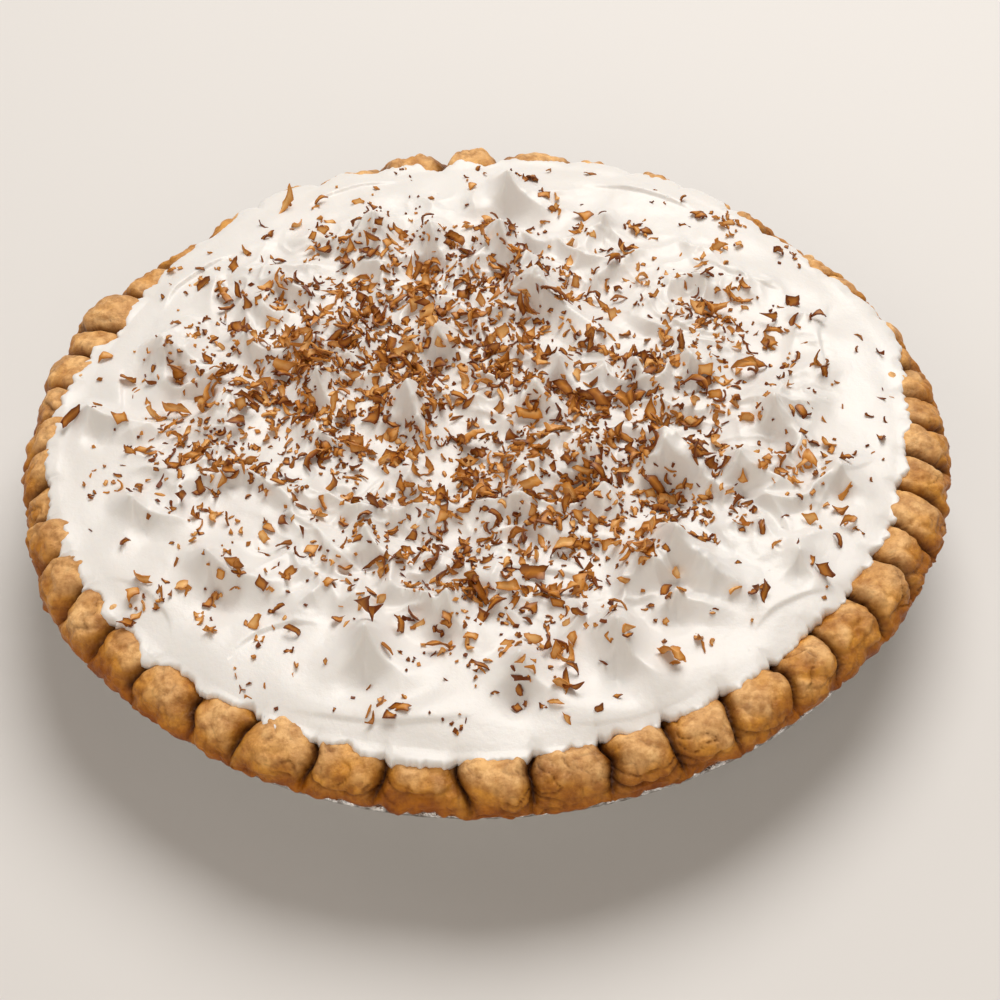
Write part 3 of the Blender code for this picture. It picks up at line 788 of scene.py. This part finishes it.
def foil_material():
    """Bright foil, creased where it is crumpled, with painted glints and painted dark reflections in
    its colour there.
    """
    made, nodes, links, shader = new_material("bright_foil", roughness=0.16, metallic=1.0)
    crumple_and_glints = value_node(nodes, "crumple_and_glints")
    # Painted reflection: dark and bright patches in the rim's colour, standing in for glints
    glint_pattern = noise_node(nodes, links, scale=330.0, detail=2.0)
    painted_glints = ramp_node(nodes, links, glint_pattern, (
        (0.40, (0.34, 0.30, 0.27)), (0.60, (0.88, 0.87, 0.86)),
    ))
    colour = mix_node(nodes, links, "MIX", crumple_and_glints, (0.82, 0.82, 0.81), painted_glints)
    links.new(colour, shader.inputs["Base Color"])
    creases = noise_node(nodes, links, scale=480.0, detail=3.0, roughness=0.6)
    fine = noise_node(nodes, links, scale=1300.0, detail=3.0, roughness=0.6)
    first = bump_node(nodes, links, shader, creases, distance=0.0016, strength=1.0)
    second = bump_node(nodes, links, shader, fine, distance=0.0004, strength=0.8, before=first)
    links.new(crumple_and_glints, first.inputs["Strength"])
    links.new(crumple_and_glints, second.inputs["Strength"])
    return made


def floor_material():
    made, _, _, shader = new_material("pale_floor", roughness=0.6)
    shader.inputs["Base Color"].default_value = (0.74, 0.73, 0.72, 1.0)
    return made


# Foil tin

def tin_profile():
    """The tin's section: up the inside, over the rolled rim and down the outside."""
    top = TIN_LIP_HEIGHT + TIN_WALL
    climb = []
    for k in range(TIN_CLIMB_STEPS + 1):
        share = k / TIN_CLIMB_STEPS
        climb.append((TIN_FOOT_RADIUS + (TIN_LIP_RADIUS - TIN_FOOT_RADIUS) * share,
                      TIN_FOOT_HEIGHT + (top - TIN_FOOT_HEIGHT) * share))
    bead = []
    for k in range(TIN_BEAD_STEPS + 1):
        turn = math.radians(TIN_BEAD_START - TIN_BEAD_TURN * k / TIN_BEAD_STEPS)
        bead.append((TIN_RIM_RADIUS + TIN_BEAD_RADIUS * math.cos(turn),
                     TIN_LIP_HEIGHT - TIN_BEAD_DROP + TIN_BEAD_RADIUS * math.sin(turn)))
    profile = [(0.0, TIN_WALL), (TIN_FLOOR_MIDDLE, TIN_WALL), (TIN_FLOOR_EDGE, TIN_WALL)] + climb
    profile += [(radius, top) for radius in TIN_FLANGE] + bead
    profile += [(radius, TIN_LIP_HEIGHT) for radius in reversed(TIN_FLANGE)]
    profile += [(radius + TIN_WALL, height - TIN_WALL) for radius, height in reversed(climb[1:])]
    profile += [(TIN_FOOT_RADIUS, TIN_FOOT_HEIGHT / 2.0), (TIN_FLOOR_EDGE, 0.0),
                (TIN_FLOOR_MIDDLE, 0.0), (0.0, 0.0)]
    return profile


def make_tin():
    """The foil tin: a turned section with pleats down its wall and a crinkled rim."""
    tin = turned("bright_foil_tin", tin_profile(), TIN_STEPS)
    places = corners(tin)
    radius = np.hypot(places[:, 0], places[:, 1])
    angle = np.arctan2(places[:, 1], places[:, 0])
    around = ring_noise(angle, *FOIL_PLEAT_NOISE)
    pleat = np.sin(FOIL_PLEATS * angle + FOIL_PLEAT_WANDER * around) * FOIL_PLEAT_DEPTH
    crinkle = sum(size * ring_noise(angle, scale, seed) for size, scale, seed in FOIL_CRINKLES)
    wall = ease((radius - TIN_FLOOR_RADIUS) / FOIL_FADE)
    rim = ease((radius - TIN_LIP_RADIUS) / FOIL_FADE)
    shift = pleat * wall * (1.0 - rim) + crinkle * rim
    shift = np.where(radius > TIN_RIM_RADIUS, np.minimum(shift, 0.0), shift)
    scale = np.where(radius > 0.0, (radius + shift) / np.maximum(radius, 1e-9), 1.0)
    places[:, 0] *= scale
    places[:, 1] *= scale
    places[:, 2] += crinkle * rim * FOIL_CRINKLE_LIFT
    set_corners(tin, places)
    # 1 on the rim, where the crumpling bumps and the painted glints both apply, low on the wall
    add_value(tin, "crumple_and_glints", FOIL_LEAST_CRUMPLE_AND_GLINTS + (1.0 - FOIL_LEAST_CRUMPLE_AND_GLINTS) * rim)
    tin.data.materials.append(foil_material())
    work_on(tin)
    bpy.ops.object.shade_smooth_by_angle(angle=math.radians(TIN_SMOOTH_ANGLE))
    return tin


# Pastry case

def smooth_outline(points, steps):
    """More points along a smooth curve through the given ones."""
    points = np.array(points)
    along = np.arange(len(points))
    fine = np.linspace(0.0, len(points) - 1.0, steps)
    before = np.clip(fine.astype(int), 0, len(points) - 2)
    share = (fine - before)[:, None]
    padded = np.vstack((2 * points[0] - points[1], points, 2 * points[-1] - points[-2]))
    p0, p1, p2, p3 = (padded[before + k] for k in range(4))
    return 0.5 * (2 * p1 + (p2 - p0) * share + (2 * p0 - 5 * p1 + 4 * p2 - p3) * share ** 2
                  + (3 * p1 - p0 - 3 * p2 + p3) * share ** 3)


def rim_noise(turn, height):
    """Soft noise wrapped round the rim, about -1 to 1."""
    return np.array([noise.noise(Vector((ROUND_SCALE * math.cos(a), ROUND_SCALE * math.sin(a), h)))
                     for a, h in zip(turn, height)])


def crust_noise(spots, scale, shift=(0.0, 0.0, 0.0)):
    """Soft noise through the crust, about -1 to 1."""
    return np.array([noise.noise(Vector(spot) * scale + Vector(shift)) for spot in spots])


def case_blank():
    """The case's section turned about Z, its rim still a flat ring."""
    seat = TIN_LIP_HEIGHT + TIN_WALL + CASE_GAP
    profile = [(radius, FILLING_TOP) for radius in FILLING_RINGS]
    profile += [(RIM_START + RIM_SPACING * k, RIM_RING_HEIGHT) for k in range(RIM_STEPS)]
    profile += [(TIN_LIP_RADIUS - CASE_INSET, seat), (TIN_FLOOR_RADIUS - CASE_INSET, CASE_FLOOR),
                (0.0, CASE_FLOOR)]
    return turned("fluted_pastry_case", profile, CASE_STEPS)


def flute_traits(number, degrees):
    """How the flutes differ: lean, plumpness, depth of the crease, and its drop and slant."""
    draw = np.random.default_rng(FLUTE_SEED)
    lean = draw.uniform(-FLUTE_LEAN, FLUTE_LEAN, FLUTES)[number]
    plump = draw.uniform(*FLUTE_PLUMPNESS, FLUTES)[number]
    crease = draw.uniform(0.0, CREASE_DEEPEST, FLUTES)[number]
    crease = crease * (0.30 + 0.70 * bump(degrees, *CREASE_PLACE))
    drop = draw.uniform(*CREASE_DROP, FLUTES)[number]
    slant = draw.uniform(-CREASE_SLANT, CREASE_SLANT, FLUTES)[number]
    return lean, plump, crease, drop, slant


def pinched_rim(turn, station, down, across, lean):
    """The rim's outline led over flutes and grooves: fullness, radius and height."""
    flute = smooth_outline(FLUTE_TOP, RIM_STEPS)[station]
    groove = smooth_outline(GROOVE_TOP, RIM_STEPS)[station]
    skewed = np.clip(across + lean * (down - 0.4) * (1.0 - across ** 2), -1.0, 1.0)
    notch = PINCH_NOTCH - PINCH_NOTCH_LOSS * ease((down - 0.60) / 0.25)
    full = (1.0 - np.abs(skewed) ** PINCH_SQUARENESS) ** notch
    out = groove + (flute - groove) * full[:, None]
    return full, *rim_placed(turn, out[:, 0], out[:, 1])


def shaped_rim(turn, station):
    """The fluted, creased and blistered rim: places, painted shade in its grooves, creases, cracks and
    dents, and browning with painted light on top and painted shade low down.
    """
    down = station / (RIM_STEPS - 1.0)
    degrees = np.degrees(turn) % 360.0
    sway = rim_noise(turn, SWAY_SCALE * down)
    shear = FLUTE_SHEAR * bump(degrees, *FLUTE_SHEAR_PLACE) * (down - 0.3)
    number, across = flute_place(turn + FLUTE_SWAY * sway * ease((down - 0.2) / 0.2) + shear)
    lean, plump, crease, drop, slant = flute_traits(number, degrees)
    full, radius, height = pinched_rim(turn, station, down, across, lean)

    spots = list(zip(radius * np.cos(turn), radius * np.sin(turn), height))
    lumps = crust_noise(spots, LUMP_SCALE)
    knobs = crust_noise(spots, KNOB_SCALE, (7.0, 3.0, 1.0))
    grain = crust_noise(spots, GRAIN_SCALE)
    patches = crust_noise(spots, PATCH_SCALE, (4.0, 0.0, 0.0))
    veins = rim_noise(turn + 0.030 * lumps, VEIN_SCALE * (height + 0.0014 * knobs + 0.0010 * sway))

    line = CREASE_LINE + drop + slant * across - CREASE_BOW * across ** 2 + CREASE_WANDER * patches
    below = down - line
    inner = 1.0 - across ** 6
    fold = np.where(below > 0.0, np.exp(-below / 0.060), np.exp(-((below / 0.014) ** 2)))
    fold = fold * crease * inner
    cracks = np.exp(-((veins / 0.04) ** 2)) * ease((patches + 0.12) / 0.25)
    low_lumps = ridges(veins - 0.12, 3.2) * ease((down - 0.64) / 0.10)
    dents = np.exp(-((knobs / 0.05) ** 2)) * ease((lumps + 0.15) / 0.25)
    puffs = np.exp(-(((1.0 - np.abs(across)) / 0.17) ** 2) - ((down - 0.80) / 0.07) ** 2)
    push = CRUST_LUMPS * lumps + CRUST_KNOBS * (np.abs(knobs) - 0.16) + CRUST_GRAIN * grain
    push = push + plump * full * np.sin(math.pi * down)
    push = push - CRUST_FOLDS * fold - CRUST_CRACKS * cracks
    push = push + CRUST_PUFFS * puffs + CRUST_LOW_LUMPS * low_lumps
    push *= ease((down - 0.02) / 0.15) * ease((1.0 - down) / 0.06)
    away_radius = radius - RIM_CORE_RADIUS
    away_height = height - RIM_CORE_HEIGHT
    length = np.maximum(np.hypot(away_radius, away_height), 1e-6)
    radius = radius + away_radius / length * push
    height = height + away_height / length * push

    # Painted shade, from the dark notches between flutes, the crease lines, cracks and dents
    notch = np.clip((1.0 - full) * 1.3, 0.0, 1.0) ** 1.2 * (1.0 - 0.85 * ease((down - 0.62) / 0.20))
    sharp = np.exp(-((below / 0.022) ** 2)) * crease * inner
    painted_shade = np.clip(notch + 0.60 * sharp + 0.34 * cracks + 0.30 * dents, 0.0, 1.0)
    # Paler with height and on raised lumps: browning, with painted light on the top and the lumps and
    # painted shade low down
    top = np.clip((height - BAKED_AND_LIT_FROM) / BAKED_AND_LIT_OVER, 0.0, 1.0)
    browning_and_painted_light = np.clip(top + 0.25 * lumps + 0.15 * knobs, 0.0, 1.0)
    return np.stack((radius * np.cos(turn), radius * np.sin(turn), height), 1), painted_shade, browning_and_painted_light


def make_case():
    """The pastry case: a turned section whose flat ring is shaped to the pinched rim."""
    case = case_blank()
    places = corners(case)
    on_rim = np.abs(places[:, 2] - RIM_RING_HEIGHT) < 1e-6
    ring = places[on_rim]
    station = np.rint((np.hypot(ring[:, 0], ring[:, 1]) - RIM_START) / RIM_SPACING).astype(int)
    # Painted shade in the rim's grooves, creases, cracks and dents, 0 elsewhere
    painted_shade = np.zeros(len(places))
    browning_and_painted_light = np.zeros(len(places))
    shaped = shaped_rim(np.arctan2(ring[:, 1], ring[:, 0]), station)
    places[on_rim], painted_shade[on_rim], browning_and_painted_light[on_rim] = shaped
    set_corners(case, places)
    add_value(case, "painted_shade", painted_shade)
    add_value(case, "browning_and_painted_light", browning_and_painted_light)
    case.data.materials.append(pastry_material())
    case.data.shade_smooth()
    return case


# Whipped cream

def close_below(item):
    """Closes a sheet to a solid: a short skirt, then a flat underside drawn in to its middle."""
    work_on(item)
    bpy.ops.object.mode_set(mode="EDIT")
    bpy.ops.mesh.select_all(action="DESELECT")
    bpy.ops.mesh.select_non_manifold()
    bpy.ops.mesh.extrude_region_move(TRANSFORM_OT_translate={"value": (0, 0, -CREAM_SKIRT)})
    bpy.ops.mesh.extrude_region_move()
    bpy.ops.transform.resize(value=(CREAM_FLAT_SHARE, CREAM_FLAT_SHARE, 1.0), center_override=(0, 0, 0))
    bpy.ops.transform.translate(value=(0, 0, -CREAM_FLAT_DROP))
    bpy.ops.mesh.extrude_region_move()
    bpy.ops.mesh.merge(type="CENTER")
    bpy.ops.object.mode_set(mode="OBJECT")


def faced_outward(item):
    work_on(item)
    bpy.ops.object.mode_set(mode="EDIT")
    bpy.ops.mesh.select_all(action="SELECT")
    bpy.ops.mesh.normals_make_consistent(inside=False)
    bpy.ops.object.mode_set(mode="OBJECT")


def make_cream():
    """A grid rounded to a disc, raised to the cream's surface and closed below."""
    deselect()
    bpy.ops.mesh.primitive_grid_add(x_subdivisions=CREAM_CELLS, y_subdivisions=CREAM_CELLS, size=2.0)
    cream = bpy.context.object
    cream.name = "spooned_cream"
    flat = corners(cream)
    x = flat[:, 0] * np.sqrt(1.0 - flat[:, 1] ** 2 / 2.0)
    y = flat[:, 1] * np.sqrt(1.0 - flat[:, 0] ** 2 / 2.0)
    outer = ease((np.hypot(x, y) - 0.5) / 0.5)
    edge = edge_radius(np.arctan2(y, x))
    scale = CREAM_MEAN_RADIUS + (edge - CREAM_MEAN_RADIUS) * outer
    x, y = x * scale, y * scale
    set_corners(cream, np.stack((x, y, cream_height(x, y)), 1))
    thin = cream.modifiers.new("thin_out", "DECIMATE")
    thin.ratio = CREAM_TRIANGLES / (2.0 * CREAM_CELLS ** 2)
    modifiers_kept(cream)
    close_below(cream)
    faced_outward(cream)
    cream.data.shade_smooth()
    cream.data.materials.append(cream_material())
    return cream


# Chocolate shavings

def plate(name, along, across):
    """A flat unit plate with thickness, to be cut and bent for each shaving."""
    deselect()
    bpy.ops.mesh.primitive_grid_add(x_subdivisions=along, y_subdivisions=across, size=1.0)
    item = bpy.context.object
    item.name = name
    solid = item.modifiers.new("thickness", "SOLIDIFY")
    solid.thickness = 1.0
    solid.offset = 0.0
    modifiers_kept(item)
    return item


def scatter_places(count, seed, spacing):
    """Where shavings lie: thick on the beds, thin towards the edge."""
    draw = random.Random(seed)
    weights = [bed[3] for bed in SHAVING_BEDS]
    places = []
    while len(places) < count:
        if places and draw.random() < CLUMPING:
            bed_x, bed_y = draw.choice(places)
            spread = CLUMP_SPREAD
        else:
            bed_x, bed_y, spread, _ = draw.choices(SHAVING_BEDS, weights)[0]
        x = draw.gauss(bed_x, spread)
        y = draw.gauss(bed_y, spread)
        near = sum(math.hypot(x - other[0], y - other[1]) < spacing for other in places)
        if math.hypot(x, y) < SHAVING_REACH and near < MOST_NEIGHBOURS:
            places.append((x, y))
    return np.array(places)


def cut_plate(unit, draw, cut):
    """A plate's plan cut to a taper, a bulge and a skew, with torn edges."""
    half = len(unit) // 2
    along, side = unit[:, 0], unit[:, 1]
    taper = draw.uniform(-cut, cut) * along * CUT_TAPER
    bulge = draw.uniform(-cut, cut) * along ** 2 * CUT_BULGE
    side = side * (1.0 + taper + bulge)
    along = along + side * draw.uniform(-cut, cut) * CUT_SKEW
    along = along + np.tile(draw.normal(0.0, RAGGED, half), 2)
    side = side + np.tile(draw.normal(0.0, RAGGED, half), 2)
    return along, side


def one_shaving(unit, draw, length, width, thickness, curl, cut):
    """One plate cut, rolled and crumpled: its length and its corners."""
    size = length[0] + (length[1] - length[0]) * draw.random() ** 2.0
    wide = size * draw.uniform(*width)
    bend = draw.uniform(*curl)
    along, side = cut_plate(unit, draw, cut)
    uneven = draw.normal(0.0, TWIST) * along * side + draw.normal(0.0, CUP) * side ** 2
    uneven = uneven + np.tile(draw.normal(0.0, ROUGHNESS, len(unit) // 2), 2)
    deep = unit[:, 2] * thickness
    if bend > FLAT_BELOW:
        radius = size / bend
        inner = radius - deep
        far = inner * np.sin(along * bend)
        rise = radius - inner * np.cos(along * bend)
    else:
        far = along * size
        rise = deep
    piece = np.stack((far, side * wide, rise + size * uneven), 1)
    if draw.random() < TURNED_OVER:
        piece[:, 1:] *= -1.0
    return size, piece


def laid_down(piece, size, draw, tilt, place, slope):
    """A shaving turned and tilted, then let down on the sloping cream and a little into it."""
    lean = Quaternion((1, 0, 0), draw.normal(0.0, tilt))
    lean = lean @ Quaternion((0, 1, 0), draw.normal(0.0, tilt * SIDE_TILT))
    heading = Quaternion((0, 0, 1), draw.uniform(0.0, 2.0 * math.pi))
    up = Vector((-slope[0], -slope[1], 1.0)).normalized()
    lie = Vector((0, 0, 1)).rotation_difference(up)
    piece = piece @ np.array((lie @ heading @ lean).to_matrix()).T
    up = np.array(up)
    piece -= up * (piece @ up).min()
    return piece + (np.array(place) - up * min(SINK_SHARE * size, SINK_LIMIT))


def joined_shavings(name, places, faces, tones_and_edge_shade):
    """All the shavings of one kind as one mesh."""
    mesh = bpy.data.meshes.new(name)
    mesh.from_pydata(np.concatenate(places).tolist(), [], faces)
    item = bpy.data.objects.new(name, mesh)
    bpy.context.collection.objects.link(item)
    add_value(item, "tone_and_edge_shade", np.concatenate(tones_and_edge_shade))
    faced_outward(item)
    bpy.ops.object.shade_smooth_by_angle(angle=math.radians(SHAVING_SMOOTH_ANGLE))
    return item


def make_shavings(name, source, count, seed, spacing, length, width, thickness, curl, tilt, cut):
    """Many copies of one plate, each cut, bent, turned and laid on the cream, as one mesh."""
    draw = np.random.default_rng(seed)
    spots = scatter_places(count, seed, spacing)
    ground = cream_height(spots[:, 0], spots[:, 1])
    spots = spots[ground < SHAVING_CEILING]
    ground = ground[ground < SHAVING_CEILING]
    slope_x = (cream_height(spots[:, 0] + SLOPE_STEP, spots[:, 1]) - ground) / SLOPE_STEP
    slope_y = (cream_height(spots[:, 0], spots[:, 1] + SLOPE_STEP) - ground) / SLOPE_STEP
    unit = corners(source)
    # Corners on a plate's edge, which get painted shade
    rim = np.abs(unit[:, :2]).max(axis=1) > 0.499
    plate_faces = [tuple(face.vertices) for face in source.data.polygons]
    places, faces, tones_and_edge_shade = [], [], []
    for k, (x, y) in enumerate(spots):
        size, piece = one_shaving(unit, draw, length, width, thickness, curl, cut)
        places.append(laid_down(piece, size, draw, tilt, (x, y, ground[k]), (slope_x[k], slope_y[k])))
        faces += [tuple(corner + k * len(unit) for corner in face) for face in plate_faces]
        # Each shaving's own tone, darker at its edges as painted shade
        tones_and_edge_shade.append(np.clip(draw.uniform(*SHADES) - PAINTED_EDGE_SHADE * rim, 0.0, 1.0))
    item = joined_shavings(name, places, faces, tones_and_edge_shade)
    bpy.data.objects.remove(source)
    return item


def make_all_shavings():
    """Flakes, curls, slivers and crumbs, each kind as one piece."""
    kinds = (
        make_shavings("chocolate_flakes", plate("flake", 4, 3), count=1900, seed=11, spacing=0.0012,
                      length=(0.0012, 0.0042), width=(0.40, 0.80), thickness=0.00042,
                      curl=(0.3, 1.9), tilt=0.60, cut=0.50),
        make_shavings("chocolate_curls", plate("curl", 7, 2), count=620, seed=23, spacing=0.0020,
                      length=(0.0026, 0.0074), width=(0.22, 0.46), thickness=0.00038,
                      curl=(0.6, 2.6), tilt=0.65, cut=0.45),
        make_shavings("chocolate_slivers", plate("sliver", 3, 1), count=1050, seed=37, spacing=0.0010,
                      length=(0.0012, 0.0045), width=(0.14, 0.30), thickness=0.0004,
                      curl=(0.0, 1.6), tilt=0.42, cut=0.40),
        make_shavings("chocolate_crumbs", plate("crumb", 1, 1), count=850, seed=51, spacing=0.0008,
                      length=(0.0005, 0.0014), width=(0.60, 1.00), thickness=0.0005,
                      curl=(0.0, 0.0), tilt=0.50, cut=0.35),
    )
    chocolate = chocolate_material()
    for item in kinds:
        item.data.materials.append(chocolate)
    return kinds


# Floor, lights and camera

def make_floor():
    deselect()
    bpy.ops.mesh.primitive_plane_add(size=FLOOR_SIZE, location=(0, 0, -FLOOR_DROP))
    floor = bpy.context.object
    floor.name = "floor"
    floor.data.materials.append(floor_material())
    return floor


def add_light(name, place, size, power, colour):
    data = bpy.data.lights.new(name, "AREA")
    data.shape = "DISK"
    data.size = size
    data.energy = power
    data.color = colour
    item = bpy.data.objects.new(name, data)
    item.location = place
    item.rotation_mode = "QUATERNION"
    item.rotation_quaternion = (Vector(LIGHT_AIM) - Vector(place)).to_track_quat("-Z", "Y")
    bpy.context.collection.objects.link(item)


def light_scene():
    for light in LIGHTS:
        add_light(*light)
    world = bpy.data.worlds.new("room")
    world.use_nodes = True
    world.node_tree.nodes["Background"].inputs["Color"].default_value = ROOM_COLOUR
    world.node_tree.nodes["Background"].inputs["Strength"].default_value = ROOM_STRENGTH
    bpy.context.scene.world = world
    bpy.context.scene.view_settings.view_transform = "Standard"


def add_camera():
    data = bpy.data.cameras.new("camera")
    data.lens = CAMERA_LENS
    data.sensor_width = CAMERA_SENSOR
    data.clip_start = CAMERA_NEAR
    item = bpy.data.objects.new("camera", data)
    item.location = CAMERA_PLACE
    item.rotation_mode = "QUATERNION"
    item.rotation_quaternion = CAMERA_AIM.to_track_quat("-Z", "Y") @ Quaternion((0, 0, 1), CAMERA_ROLL)
    bpy.context.collection.objects.link(item)
    bpy.context.scene.camera = item


tin = make_tin()
case = make_case()
cream = make_cream()
shavings = make_all_shavings()
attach(tin, "root")
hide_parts("foil_tin")
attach(case, "root")
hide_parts("pastry_case")
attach(cream, "root")
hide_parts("cream")
for item in shavings:
    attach(item, "root")
make_floor()
light_scene()
add_camera()
